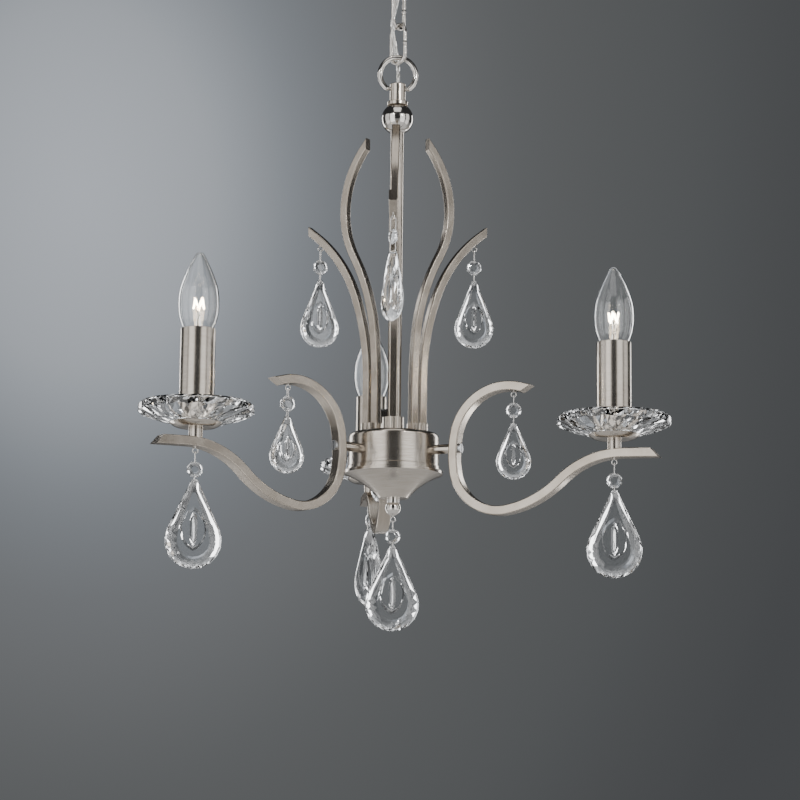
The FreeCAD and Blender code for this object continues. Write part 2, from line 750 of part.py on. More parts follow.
def hub_disc():
    """The steel disc inside the drum that the arm screws pull against."""
    low = level(HUB_LEVEL) - HUB_H / 2
    disc = pipe(DRUM_R - DRUM_WALL, ROD_R, low, low + HUB_H)
    for azimuth in ARM_AZIMUTHS:
        depth = SCREW_DEPTH + SCREW_END_PLAY
        start = on_circle(DRUM_R - depth, azimuth, level(HUB_LEVEL))
        disc = disc.cut(rod(start, start + on_circle(depth, azimuth), SCREW_R))
        wire_way = on_circle(WIRE_WAY_AT, azimuth + 180.0 / ARM_COUNT, low)
        disc = disc.cut(Part.makeCylinder(WIRE_WAY_R, HUB_H, wire_way))
    return disc


def cone_outline(shrink):
    """The cone's half outline, made smaller all round by shrink."""
    top = level(DRUM_FOOT)
    foot = CONE_LEVEL + shrink
    rim = FLANGE_R - shrink
    tip = CONE_TIP_R - shrink * 0.6
    start = top - FLANGE_H + shrink * 0.5
    middle_r = (rim + tip) / 2 - CONE_HOLLOW * 0.6
    middle_z = (start + foot) / 2 + CONE_HOLLOW
    return [(0.0, top), (rim, top), (rim, start), (middle_r, middle_z, tip, foot), (0.0, foot)]


def cone():
    shell = turned(cone_outline(0.0)).cut(turned(cone_outline(CONE_WALL)))
    return shell.cut(Part.makeCylinder(ROD_R, 3 * CONE_WALL, Vector(0, 0, CONE_LEVEL - CONE_WALL)))


def finial():
    neck_foot = CONE_LEVEL - FINIAL_NECK_H
    neck = rod(Vector(0, 0, FINIAL_CENTRE), Vector(0, 0, CONE_LEVEL), FINIAL_NECK_R)
    body = Part.makeSphere(FINIAL_R, Vector(0, 0, FINIAL_CENTRE)).fuse(neck)
    bore = rod(Vector(0, 0, neck_foot + ROD_SHORT), Vector(0, 0, CONE_LEVEL), ROD_R)
    return body.cut(bore).cut(eye_shank(Vector(0, 0, FINIAL_FOOT))).removeSplitter()


# ---------------------------------------------------------------- arms
def arm_bar():
    """The arm before drilling, in the XZ plane."""
    return bent_bar(ARM_LINE, ARM_T, ARM_W, ARM_LEAN, -ARM_LEAN)


def arm(k):
    bar = arm_bar()
    hub_z = level(HUB_LEVEL)
    inner = DRUM_R + SPACER_L
    hole_end = inner + ARM_T + SCREW_HEAD_SINK
    bar = bar.cut(rod(Vector(inner - SCREW_HEAD_SINK, 0, hub_z), Vector(hole_end, 0, hub_z), SCREW_R))
    post_hole = Vector(CANDLE_R, 0, ARM_TOP_AT_CANDLE - NIPPLE_SINK)
    bar = bar.cut(Part.makeCylinder(CANDLE_NIPPLE_R, 2 * NIPPLE_SINK, post_hole))
    for radius, foot in ((CANDLE_R, large_anchor()), (SCROLL_DROP_R, scroll_anchor())):
        bar = bar.cut(eye_shank(Vector(radius, 0, foot)))
    return turn(bar, ARM_AZIMUTHS[k])


def arm_spacers():
    z = level(HUB_LEVEL)
    # its drum end is hollowed to the drum's round side
    spacer_end = DRUM_R + SPACER_L + SCREW_HEAD_SINK
    spacer = rod(Vector(DRUM_R - DRUM_WALL, 0, z), Vector(spacer_end, 0, z), SPACER_R)
    spacer = spacer.cut(Part.makeCylinder(DRUM_R, 2 * DRUM_H, Vector(0, 0, z - DRUM_H)))
    # and its arm end to the arm's round bend
    spacer = spacer.cut(arm_bar())
    spacer = spacer.cut(rod(Vector(0, 0, z), Vector(DRUM_R + 2 * SPACER_L, 0, z), SCREW_R))
    return Part.makeCompound([turn(spacer, a) for a in ARM_AZIMUTHS])


def arm_screws():
    z = level(HUB_LEVEL)
    head_at = DRUM_R + SPACER_L + ARM_T
    face_at = head_at + SCREW_HEAD_H
    shank = rod(Vector(DRUM_R - SCREW_DEPTH, 0, z), Vector(head_at + SCREW_HEAD_SINK, 0, z), SCREW_R)
    head = rod(Vector(head_at - SCREW_HEAD_SINK, 0, z), Vector(face_at, 0, z), SCREW_HEAD_R)
    head = head.cut(arm_bar())
    slot_corner = Vector(face_at - SCREW_SLOT, -SCREW_SLOT / 2, z - SCREW_HEAD_R)
    slot = Part.makeBox(SCREW_SLOT, SCREW_SLOT, 2 * SCREW_HEAD_R, slot_corner)
    screw = shank.fuse(head).cut(slot).removeSplitter()
    return Part.makeCompound([turn(screw, a) for a in ARM_AZIMUTHS])


# ---------------------------------------------------------------- leaves
def tall_leaf(k):
    return turn(bent_bar(TALL_LINE, LEAF_T, LEAF_W, 0.0, -TALL_LEAN), LEAF_AZIMUTHS[k])


def short_leaf(k):
    bar = bent_bar(SHORT_LINE, LEAF_T, LEAF_W, 0.0, SHORT_LEAN)
    bar = bar.cut(eye_shank(Vector(LEAF_DROP_R, 0, leaf_anchor())))
    return turn(bar, LEAF_AZIMUTHS[k])


def leaf_collars():
    """One round socket per pair, grooved round its side, with the two feet standing in it."""
    middle = (TALL_FOOT_R + SHORT_FOOT_R) / 2
    foot = level(DRUM_TOP)
    collar = Part.makeCylinder(LEAF_COLLAR_R, LEAF_COLLAR_H, Vector(middle, 0, foot))
    for radius in (TALL_FOOT_R, SHORT_FOOT_R):
        corner = Vector(radius - LEAF_T / 2, -LEAF_W / 2, foot + LEAF_STAND)
        collar = collar.cut(Part.makeBox(LEAF_T, LEAF_W, LEAF_COLLAR_H, corner))
    for step in range(GROOVE_COUNT):
        at = Vector(middle, 0, foot) + on_circle(LEAF_COLLAR_R + GROOVE_OUT, 360.0 / GROOVE_COUNT * step)
        collar = collar.cut(Part.makeCylinder(GROOVE_R, LEAF_COLLAR_H, at))
    collar = collar.cut(Part.makeCylinder(STEM_R + STEM_GAP, LEAF_COLLAR_H, Vector(0, 0, foot)))
    return Part.makeCompound([turn(collar, a) for a in LEAF_AZIMUTHS])


# ---------------------------------------------------------------- candles
def at_candles(shape):
    """The same piece at every candle."""
    return Part.makeCompound([turn(move(shape, Vector(CANDLE_R, 0, 0)), a) for a in ARM_AZIMUTHS])


def candle_posts():
    """The sleeve under each cup, and the threaded rod that holds cup, pan, tube and holder."""
    arm_below = move(arm_bar(), Vector(-CANDLE_R, 0, 0))
    sleeve = pipe(POST_R, CANDLE_NIPPLE_R, ARM_TOP_AT_CANDLE - POST_SINK, CUP_FOOT).cut(arm_below)
    foot = ARM_TOP_AT_CANDLE - NIPPLE_SINK
    top = TUBE_TOP - HOLDER_DROP - HOLDER_H + NIPPLE_GRIP
    threaded = rod(Vector(0, 0, foot), Vector(0, 0, top), CANDLE_NIPPLE_R)
    return Part.makeCompound([at_candles(sleeve), at_candles(threaded)])


def cup_outline(wall):
    """Half outline of the space inside the cup's surface, this far in from the outer one."""
    rim_r = CUP_R - wall
    foot = CUP_FOOT + wall
    inward, under = CUP_BULGE
    middle = (foot + CUP_RIM) / 2 - under
    return [(0.0, foot), (CUP_FLOOR_R, foot), (rim_r - inward, middle, rim_r, CUP_RIM), (0.0, CUP_RIM)]


def pan_cups():
    cup = turned(cup_outline(0.0)).cut(turned(cup_outline(CUP_WALL)))
    cup = cup.cut(Part.makeCylinder(CANDLE_NIPPLE_R, 3 * CUP_WALL, Vector(0, 0, CUP_FOOT - CUP_WALL)))
    return at_candles(cup)


def glass_pans():
    """A cut-glass dish with flat facets round its underside and rim."""
    low = CUP_RIM
    top = low + PAN_DEPTH
    corner = top - PAN_RIM_DROP
    rings = [(PAN_SEAT_R, low), (PAN_BELLY_R, low + PAN_BELLY_RISE), (PAN_R, corner - PAN_EDGE_H),
             (PAN_R, corner), (PAN_TOP_R, top)]
    step = 360.0 / PAN_SIDES
    wires = []
    for radius, z in rings:
        corners = [on_circle(radius, step * (k + 0.5), z) for k in range(PAN_SIDES + 1)]
        wires.append(Part.makePolygon(corners))
    body = Part.makeLoft(wires, True, True)
    floor = low + PAN_FLOOR_T
    mouth = PAN_TOP_R - PAN_LIP
    above = top + PAN_LIP
    dish = turned([(0.0, floor), (PAN_FLOOR_R, floor), (mouth, top), (mouth, above), (0.0, above)])
    hole = Part.makeCylinder(PAN_HOLE_R, 2 * PAN_DEPTH, Vector(0, 0, low - PAN_LIP))
    return at_candles(body.cut(dish).cut(hole))


def candle_tubes():
    return at_candles(pipe(TUBE_R, TUBE_R - TUBE_WALL, TUBE_LOW, TUBE_TOP))


def lampholders():
    top = TUBE_TOP - HOLDER_DROP
    foot = top - HOLDER_H
    body = Part.makeCylinder(HOLDER_R, HOLDER_H, Vector(0, 0, foot))
    bore_foot = Vector(0, 0, top - HOLDER_BORE_DEPTH)
    body = body.cut(Part.makeCylinder(HOLDER_BORE_R, HOLDER_BORE_DEPTH, bore_foot))
    body = body.cut(Part.makeCylinder(CANDLE_NIPPLE_R, NIPPLE_GRIP, Vector(0, 0, foot)))
    return at_candles(body)


def bulb_outline(shrink):
    """The envelope's half outline, made smaller by the glass's thickness."""
    points = [Vector(r - shrink, 0, TUBE_TOP + z) for r, z in BULB_PROFILE]
    points.append(Vector(0, 0, TUBE_TOP + BULB_TIP - shrink))
    curve = Part.BSplineCurve()
    curve.interpolate(points)
    foot = Vector(0, 0, points[0].z)
    edges = [
        Part.LineSegment(foot, points[0]).toShape(), curve.toShape(),
        Part.LineSegment(points[-1], foot).toShape(),
    ]
    return Part.Face(Part.Wire(edges)).revolve(Vector(0, 0, 0), Vector(0, 0, 1), 360)


def bulb(k):
    """Candle bulb: clear envelope, screw cap and the glass stem with its filament."""
    foot = TUBE_TOP + BULB_PROFILE[0][1]
    envelope = bulb_outline(0.0).cut(bulb_outline(BULB_WALL))
    tip = foot - CAP_H
    out, up = CAP_SHOULDER
    cap = turned([
        (0.0, foot), (CAP_R, foot), (CAP_R, tip + CAP_TAPER), (CAP_TIP_R + out, tip + up),
        (CAP_TIP_R, tip), (0.0, tip),
    ])
    rising = [(r, foot + z) for r, z in MOUNT]
    stem = turned([(0.0, foot)] + rising + [(0.0, rising[-1][1])])
    hot = foot + FILAMENT_AT
    filament = rod(Vector(-FILAMENT_HALF, 0, hot), Vector(FILAMENT_HALF, 0, hot), FILAMENT_R)
    for sign in (-1.0, 1.0):
        support_foot = Vector(sign * SUPPORT_FOOT[0], 0, foot + SUPPORT_FOOT[1])
        filament = filament.fuse(rod(support_foot, Vector(sign * FILAMENT_HALF, 0, hot), SUPPORT_R))
    filament = filament.fuse(stem).removeSplitter()
    pieces = []
    for piece in (envelope, cap, filament):
        pieces.append(turn(move(piece, Vector(CANDLE_R, 0, 0)), ARM_AZIMUTHS[k]))
    return Part.makeCompound(pieces)


# ---------------------------------------------------------------- drops
def large_anchor():
    middle, heading = bar_height(ARM_LINE[-2:], CANDLE_R)
    return middle - ARM_T / 2 / math.cos(math.radians(heading))


def scroll_anchor():
    middle, heading = bar_height(ARM_LINE, SCROLL_DROP_R)
    return middle - ARM_T / 2 / abs(math.cos(math.radians(heading)))


def leaf_anchor():
    middle, heading = bar_height(SHORT_LINE, LEAF_DROP_R)
    return middle - LEAF_T / 2 / abs(math.cos(math.radians(heading)))


def eye_shank(foot):
    """The shank that is screwed up into what the eye hangs from."""
    return Part.makeCylinder(EYE_SHANK_R, EYE_SINK, foot)


def drops():
    """Every drop: (name, azimuth, radius, height it hangs from, bead's drop, link, pear size, face)."""
    rows = []
    for k, azimuth in enumerate(ARM_AZIMUTHS):
        rows.append(("arm_%d" % (k + 1), azimuth, CANDLE_R, large_anchor(), LARGE_BEAD_DROP, LARGE_LINK,
                     LARGE_PEAR, LARGE_FACES[k]))
    for k, azimuth in enumerate(ARM_AZIMUTHS):
        rows.append(("scroll_%d" % (k + 1), azimuth, SCROLL_DROP_R, scroll_anchor(), SMALL_BEAD_DROP,
                     SMALL_LINK, SMALL_PEAR, SMALL_FACES[k]))
    for k, azimuth in enumerate(LEAF_AZIMUTHS):
        rows.append(("leaf_%d" % (k + 1), azimuth, LEAF_DROP_R, leaf_anchor(), LEAF_BEAD_DROP, LEAF_LINK,
                     LEAF_PEAR, LEAF_FACES[k]))
    rows.append(("centre", 0.0, 0.0, FINIAL_FOOT, CENTRE_BEAD_DROP, LARGE_LINK, LARGE_PEAR, CENTRE_FACE))
    return rows


def face_to(shape, row):
    """Turns a piece made facing -Y about its own plumb line, and puts it where the drop hangs."""
    out = turn(shape, row[7] + 90.0)
    return move(out, on_circle(row[2], row[1], 0.0))


def eye_height(row):
    return row[3] - EYE_NECK - EYE_R


def drop_eye(row):
    centre = Vector(0, 0, eye_height(row))
    ring = Part.makeTorus(EYE_R, EYE_WIRE_R, centre, Vector(0, 1, 0))
    shank = rod(Vector(0, 0, centre.z + EYE_R), Vector(0, 0, row[3] + EYE_SINK), EYE_SHANK_R)
    return face_to(ring.fuse(shank).removeSplitter(), row)


def wire_link(low, high):
    """A closed oblong of wire in the YZ plane, from one hole's axis to another's."""
    corners = [
        Vector(0, -HOOK_HALF, low), Vector(0, HOOK_HALF, low), Vector(0, HOOK_HALF, high),
        Vector(0, -HOOK_HALF, high),
    ]
    return swept_tube(rounded_path(corners, lambda k: HOOK_CORNER, closed=True), WIRE_R)


def cut_piece(outline, table, thickness):
    """A cut-glass piece: its girdle outline, and a smaller flat table on each face."""
    layers = [(table, -thickness / 2), (outline, -GIRDLE), (outline, GIRDLE), (table, thickness / 2)]
    wires = []
    for points, y in layers:
        corners = [Vector(x, y, z) for x, z in points]
        wires.append(Part.makePolygon(corners + corners[:1]))
    return Part.makeLoft(wires, True, True)


def cross_hole(z, reach):
    return rod(Vector(0, -reach, z), Vector(0, reach, z), DROP_HOLE_R)


def octagon(radius, z):
    points = []
    for k in range(BEAD_SIDES):
        a = math.radians(360.0 / BEAD_SIDES * (k + 0.5))
        points.append((radius * math.cos(a), z + radius * math.sin(a)))
    return points


def bead(row):
    """The octagon and the wire link above it, which hangs in the eye."""
    z = row[3] - row[4]
    body = cut_piece(octagon(BEAD_R, z), octagon(BEAD_TABLE_R, z), BEAD_T)
    for side in (-1.0, 1.0):
        body = body.cut(cross_hole(z + side * BEAD_HOLE_AT, BEAD_T))
    hook_top = eye_height(row) - EYE_R + EYE_WIRE_R + HOOK_GAP + WIRE_R
    hook = wire_link(z + BEAD_HOLE_AT, hook_top)
    return Part.makeCompound([face_to(body, row), face_to(hook, row)])


def teardrop(height, width, top):
    """A round belly with two straight sides that meet its neck."""
    radius = width / 2
    centre = top - height + radius
    reach = height - radius
    lift = math.degrees(math.asin((radius - PEAR_NECK) / reach))
    points = [(PEAR_NECK, top)]
    for k in range(PEAR_SIDES + 1):
        a = math.radians(lift - (180.0 + 2 * lift) * k / PEAR_SIDES)
        points.append((radius * math.cos(a), centre + radius * math.sin(a)))
    points.append((-PEAR_NECK, top))
    return points, centre


def pear(row):
    """The pear drop and the wire link that hangs it from the bead."""
    height, width, thickness = row[6]
    bead_z = row[3] - row[4]
    top = bead_z - row[5]
    outline, centre = teardrop(height, width, top)
    table = [(x * PEAR_TABLE, centre + (z - centre) * PEAR_TABLE) for x, z in outline]
    body = cut_piece(outline, table, thickness)
    body = body.cut(cross_hole(top - PEAR_HOLE_DOWN, thickness))
    ring = wire_link(top - PEAR_HOLE_DOWN, bead_z - BEAD_HOLE_AT)
    return Part.makeCompound([face_to(body, row), face_to(ring, row)])


# ---------------------------------------------------------------- every node
def nodes():
    out = {
        "ceiling_plate": ceiling_plate(),
        "rose_fixings": rose_fixings(),
        "ceiling_rose": ceiling_rose(),
        "rose_loop": rose_loop(),
        "flex_grommet": flex_grommet(),
        "terminal_block": terminal_block(),
        "flex": flex(),
        "top_loop": top_loop(),
        "loop_barrel": loop_barrel(),
        "top_ball": top_ball(),
        "stem_tube": stem_tube(),
        "tie_rod": tie_rod(),
        "drum": drum(),
        "hub_disc": hub_disc(),
        "cone": cone(),
        "finial": finial(),
        "arm_spacers": arm_spacers(),
        "arm_screws": arm_screws(),
        "leaf_collars": leaf_collars(),
        "candle_posts": candle_posts(),
        "pan_cups": pan_cups(),
        "glass_pans": glass_pans(),
        "candle_tubes": candle_tubes(),
        "lampholders": lampholders(),
        "drop_eyes": Part.makeCompound([drop_eye(row) for row in drops()]),
    }
    for k in range(LINK_COUNT):
        out["chain_link_%d" % (k + 1)] = chain_link(k)
    for k in range(ARM_COUNT):
        out["arm_%d" % (k + 1)] = arm(k)
        out["tall_leaf_%d" % (k + 1)] = tall_leaf(k)
        out["short_leaf_%d" % (k + 1)] = short_leaf(k)
        out["bulb_%d" % (k + 1)] = bulb(k)
    for row in drops():
        out["bead_" + row[0]] = bead(row)
        out["pear_" + row[0]] = pear(row)
    return out


os.makedirs("parts", exist_ok=True)
for name, shape in nodes().items():
    if not shape.isValid():
        print("not valid:", name)
    shape.exportStep("parts/" + name + ".step")
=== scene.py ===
import math

import bmesh
import bpy
from mathutils import Matrix, Vector


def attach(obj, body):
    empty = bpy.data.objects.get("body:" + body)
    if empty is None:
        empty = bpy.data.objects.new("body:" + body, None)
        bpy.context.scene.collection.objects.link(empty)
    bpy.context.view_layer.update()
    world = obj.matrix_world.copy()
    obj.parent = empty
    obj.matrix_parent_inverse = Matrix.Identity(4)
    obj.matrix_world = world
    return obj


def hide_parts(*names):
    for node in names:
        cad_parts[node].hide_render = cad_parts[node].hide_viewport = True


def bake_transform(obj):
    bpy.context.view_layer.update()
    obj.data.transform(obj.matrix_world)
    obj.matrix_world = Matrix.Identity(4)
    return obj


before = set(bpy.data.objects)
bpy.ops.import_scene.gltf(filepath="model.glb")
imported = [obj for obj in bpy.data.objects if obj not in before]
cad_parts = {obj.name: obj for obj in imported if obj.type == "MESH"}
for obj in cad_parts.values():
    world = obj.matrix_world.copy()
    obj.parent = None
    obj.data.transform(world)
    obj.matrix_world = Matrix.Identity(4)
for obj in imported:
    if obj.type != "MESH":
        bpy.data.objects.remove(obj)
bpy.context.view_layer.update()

MM = 0.001

# ---------------------------------------------------------------- sizes in millimetres
TOP = -160.4                 # top of the hanging loop
ARM_AZIMUTHS = (90.0, 210.0, 330.0)
LEAF_AZIMUTHS = (22.0, 142.0, 262.0)
LINK_LENGTH = 40.0
LINK_WIDTH = 19.0
LINK_WIRE = 1.65
LINK_PITCH = 33.0
LINK_TOP_CENTRE = -83.8
CANDLE_R = 207.6
TUBE_TOP = -444.07
CUP_RIM = -525.07
TUBE_H = 83.0
FLEX_R = 1.75
DROP_ROWS = (
    # name, radius, anchor height, bead drop, link, pear length, width, thickness, azimuths, faces
    ("arm", CANDLE_R, -545.58, 19.3, 8.2, 76.0, 48.0, 12.0, ARM_AZIMUTHS, (206.0, 272.0, 258.0)),
    ("scroll", 114.8, -480.81, 17.5, 11.4, 50.0, 31.0, 10.0, ARM_AZIMUTHS, (200.0, 282.0, 262.0)),
    ("leaf", 82.0, -330.35, 21.0, 12.4, 63.0, 36.0, 11.0, LEAF_AZIMUTHS, (266.0, 276.0, 200.0)),
    ("centre", 0.0, -586.93, 18.5, 8.2, 76.0, 48.0, 12.0, (0.0,), (268.0,)),
)
EYE_DROP = 3.2               # eye's middle under what it is screwed into
EYE_REACH = 1.0              # from there down to the top of the wire link in it
BEAD_R = 7.0
BEAD_T = 5.4
BEAD_HOLE = 4.9
PEAR_HOLE = 3.0
HOLE_R = 0.8
BULB_PROFILE = (
    (7.2, -9.0), (8.8, -6.0), (12.6, 0.0), (16.2, 10.0), (17.5, 22.0), (16.3, 35.0), (12.1, 47.5),
    (7.3, 58.0), (4.7, 63.4), (2.6, 66.2), (0.0, 67.2),
)


# ---------------------------------------------------------------- shader helpers
class Value:
    """One output of a shader node, which takes part in sums."""

    def __init__(self, finish, socket):
        self.finish = finish
        self.socket = socket

    def sum(self, operation, *values):
        return self.finish.node("Math", {"operation": operation}, dict(enumerate(values)))

    def __add__(self, other):
        return self.sum("ADD", self, other)

    def __sub__(self, other):
        return self.sum("SUBTRACT", self, other)

    def __rsub__(self, other):
        return self.sum("SUBTRACT", other, self)

    def __mul__(self, other):
        return self.sum("MULTIPLY", self, other)

    def __pow__(self, other):
        return self.sum("POWER", self, other)

    __radd__ = __add__
    __rmul__ = __mul__


class Graph:
    """A node tree that is built from expressions."""

    def __init__(self, tree):
        self.tree = tree

    def node(self, kind, settings=None, values=None, output=0):
        made = self.tree.nodes.new("ShaderNode" + kind)
        for key, value in (settings or {}).items():
            if key == "stops":
                made.color_ramp.interpolation = "B_SPLINE" if len(value) > 2 else "LINEAR"
                stops = made.color_ramp.elements
                while len(stops) < len(value):
                    stops.new(1.0)
                for stop, (place, colour) in zip(stops, value):
                    stop.position = place
                    stop.color = (*colour, 1.0)
            else:
                setattr(made, key, value)
        for key, value in (values or {}).items():
            self.feed(made.inputs[key], value)
        return Value(self, made.outputs[output])

    def feed(self, socket, value):
        if isinstance(value, Value):
            self.tree.links.new(value.socket, socket)
        else:
            socket.default_value = value


class Finish(Graph):
    """A material: constants go straight to its main shader, and node() adds everything else."""

    def __init__(self, name, constants):
        self.material = bpy.data.materials.new(name)
        self.material.use_nodes = True
        super().__init__(self.material.node_tree)
        self.shader = self.tree.nodes["Principled BSDF"]
        for socket, value in constants.items():
            self.shader.inputs[socket].default_value = value

    def surface(self, **values):
        for key, value in values.items():
            self.feed(self.shader.inputs[key.replace("_", " ")], value)

    def noise(self, stretch, detail=2.0, spin=0.0):
        """Noise from 0 to 1 whose grain is stretched: spots per metre along X, Y and Z."""
        place = self.node("TexCoord", output="Object")
        turned = self.node("Mapping", {"vector_type": "POINT"},
                           {"Vector": place, "Rotation": (0.0, 0.0, math.radians(spin))})
        scaled = self.node("Mapping", {}, {"Vector": turned, "Scale": stretch})
        return self.node("TexNoise", {}, {"Vector": scaled, "Scale": 1.0, "Detail": detail})

    def blend(self, dark, light, amount):
        return self.node("ValToRGB", {"stops": ((0.3, dark), (0.7, light))}, {"Fac": amount})

    def relief(self, height, strength, depth):
        bump = self.node("Bump", {}, {"Height": height, "Strength": strength, "Distance": depth})
        self.surface(Normal=bump)


def nickel(name, grain, dark, light, rough, spin=0.0, spread=0.07, bump=0.12, stretch=0.0):
    """Plated metal brushed in one direction, with slow cloudy changes of gloss."""
    finish = Finish(name, {"Metallic": 1.0, "Anisotropic": stretch})
    brushed = finish.noise(grain, 3.0, spin)
    cloudy = finish.noise((30.0, 30.0, 30.0), 4.0)
    finish.surface(
        Base_Color=finish.blend(dark, light, brushed * 0.6 + cloudy * 0.4),
        Roughness=brushed * spread + cloudy * spread + rough,
    )
    finish.relief(brushed, bump, 0.00004)
    return finish.material


def glass(name, tint, rough, ior, haze):
    """Clear glass with faint streaks, and a trace of handling marks that dull its polish."""
    finish = Finish(name, {"Transmission Weight": 1.0, "IOR": ior})
    marks = finish.noise((90.0, 90.0, 90.0), 5.0)
    finish.surface(
        Base_Color=finish.blend(tint, (1.0, 1.0, 1.0), marks),
        Roughness=marks ** 4.0 * haze + rough,
    )
    return finish.material


def moulded(name, dark, light, rough, spots, bump):
    """Plastic or rubber with the fine grain of its mould."""
    finish = Finish(name, {"Specular IOR Level": 0.45})
    grain = finish.noise((spots, spots, spots), 4.0)
    cloudy = finish.noise((70.0, 70.0, 70.0), 3.0)
    finish.surface(Base_Color=finish.blend(dark, light, cloudy), Roughness=grain * 0.15 + rough)
    finish.relief(grain, bump, 0.00005)
    return finish.material


def glowing(name):
    """The white-hot wire, its colour changing a little at random along it."""
    finish = Finish(name, {"Emission Strength": 250.0})
    heat = finish.noise((300.0, 300.0, 300.0), 2.0)
    colour = finish.blend((1.0, 0.82, 0.58), (1.0, 0.95, 0.84), heat)
    finish.surface(Base_Color=colour, Emission_Color=colour)
    return finish.material


WARM_DARK = (0.40, 0.355, 0.30)
WARM_LIGHT = (0.62, 0.57, 0.51)
TURNED = nickel("nickel_turned", (60.0, 60.0, 2600.0), WARM_DARK, WARM_LIGHT, 0.14, spread=0.05, stretch=0.6)
LENGTHWISE = nickel("nickel_lengthwise", (2600.0, 2600.0, 60.0), WARM_DARK, WARM_LIGHT, 0.18)
POLISHED = nickel("nickel_polished", (500.0, 500.0, 500.0), (0.56, 0.53, 0.49), (0.72, 0.69, 0.65), 0.08,
                  spread=0.04, bump=0.04)
ZINC = nickel("zinc_plate", (900.0, 900.0, 900.0), (0.42, 0.43, 0.44), (0.62, 0.63, 0.64), 0.25)
WIRE = nickel("bright_wire", (3000.0, 3000.0, 3000.0), (0.60, 0.59, 0.57), (0.78, 0.77, 0.75), 0.1,
              spread=0.05, bump=0.03)
BRASS = nickel("cap_metal", (400.0, 400.0, 2600.0), (0.60, 0.55, 0.45), (0.78, 0.72, 0.60), 0.2)
CRYSTAL = glass("cut_glass", (0.955, 0.97, 0.98), 0.0, 1.58, 0.05)
THIN_GLASS = glass("bulb_glass", (0.97, 0.98, 0.98), 0.0, 1.46, 0.06)
SHEATH = glass("clear_sheath", (0.88, 0.87, 0.83), 0.05, 1.45, 0.2)
PLASTIC = moulded("white_plastic", (0.72, 0.71, 0.67), (0.82, 0.81, 0.77), 0.35, 1500.0, 0.15)
RUBBER = moulded("black_rubber", (0.02, 0.02, 0.02), (0.05, 0.05, 0.05), 0.6, 2500.0, 0.3)
GLOW = glowing("glowing_wire")
BARS = [nickel("nickel_bar_%d" % int(turn), (60.0, 2600.0, 60.0), (0.36, 0.315, 0.26),
               (0.54, 0.485, 0.42), 0.16,
               spin=-turn)
        for turn in ARM_AZIMUTHS + LEAF_AZIMUTHS]


# ---------------------------------------------------------------- mesh helpers
def on_circle(radius, azimuth, z):
    a = math.radians(azimuth)
    return Vector((radius * math.cos(a), radius * math.sin(a), z))


def standing(azimuth, place):
    """Turns a piece made facing +X so that it faces this azimuth, and moves it to its place, in metres."""
    return Matrix.Translation(place * MM) @ Matrix.Rotation(math.radians(azimuth), 4, "Z")


def smoothed(mesh, angle):
    for face in mesh.polygons:
        face.use_smooth = True
    mesh.set_sharp_from_angle(angle=math.radians(angle))


def mesh_from(bm, name, materials):
    """Closes a mesh that was drawn in millimetres."""
    bmesh.ops.scale(bm, vec=(MM, MM, MM), verts=bm.verts)
    bmesh.ops.recalc_face_normals(bm, faces=bm.faces)
    mesh = bpy.data.meshes.new(name)
    bm.to_mesh(mesh)
    bm.free()
    for material in materials:
        mesh.materials.append(material)
    return mesh


def show(mesh, name, matrix=None):
    """An object at the origin with its place in its own copy of the mesh."""
    own = mesh.copy()
    if matrix is not None:
        own.transform(matrix)
    shown = bpy.data.objects.new(name, own)
    bpy.context.scene.collection.objects.link(shown)
    return shown


def hull(points, name, material):
    bm = bmesh.new()
    for point in points:
        bm.verts.new(point)
    bmesh.ops.convex_hull(bm, input=bm.verts)
    bmesh.ops.dissolve_limit(bm, angle_limit=math.radians(1.0), verts=bm.verts, edges=bm.edges)
    return mesh_from(bm, name, [material])


def lathe(profile, name, material, closed=False, steps=64, angle=35.0):
    """A turned piece from (radius, height) pairs."""
    bm = bmesh.new()
    line = [bm.verts.new((r, 0.0, z)) for r, z in profile]
    pairs = list(zip(line, line[1:]))
    if closed:
        pairs.append((line[-1], line[0]))
    edges = [bm.edges.new(pair) for pair in pairs]
    bmesh.ops.spin(bm, geom=line + edges, cent=(0, 0, 0), axis=(0, 0, 1), angle=2 * math.pi, steps=steps,
                   use_merge=True)
    bmesh.ops.remove_doubles(bm, verts=bm.verts, dist=0.0005)
    mesh = mesh_from(bm, name, [material])
    smoothed(mesh, angle)
    return mesh


def carved(mesh, cutters):
    """The mesh less the cutters' meshes."""
    piece = show(mesh, "blank")
    tools = []
    for cutter in cutters:
        tool = show(cutter, "tool")
        tools.append(tool)
        cut = piece.modifiers.new("cut", "BOOLEAN")
        cut.operation = "DIFFERENCE"
        cut.solver = "EXACT"
        cut.object = tool
    graph = bpy.context.evaluated_depsgraph_get()
    result = bpy.data.meshes.new_from_object(piece.evaluated_get(graph))
    for used in [piece] + tools:
        bpy.data.objects.remove(used)
    return result


def wire(points, radius, name, material, cyclic=False, radii=None, sides=3):
    """A round wire along points in millimetres."""
    curve = bpy.data.curves.new(name, "CURVE")
    curve.dimensions = "3D"
    curve.bevel_depth = radius * MM
    curve.bevel_resolution = sides
    curve.use_fill_caps = not cyclic
    spline = curve.splines.new("POLY")
    spline.points.add(len(points) - 1)
    for k, point in enumerate(points):
        spline.points[k].co = (*(point * MM), 1.0)
        spline.points[k].radius = radii[k] if radii else 1.0
    spline.use_cyclic_u = cyclic
    spline.use_smooth = True
    curve.materials.append(material)
    made = bpy.data.objects.new(name, curve)
    bpy.context.scene.collection.objects.link(made)
    return made


def as_mesh(made):
    """Turns a wire into a mesh and takes the wire away."""
    graph = bpy.context.evaluated_depsgraph_get()
    mesh = bpy.data.meshes.new_from_object(made.evaluated_get(graph))
    bpy.data.objects.remove(made)
    return mesh


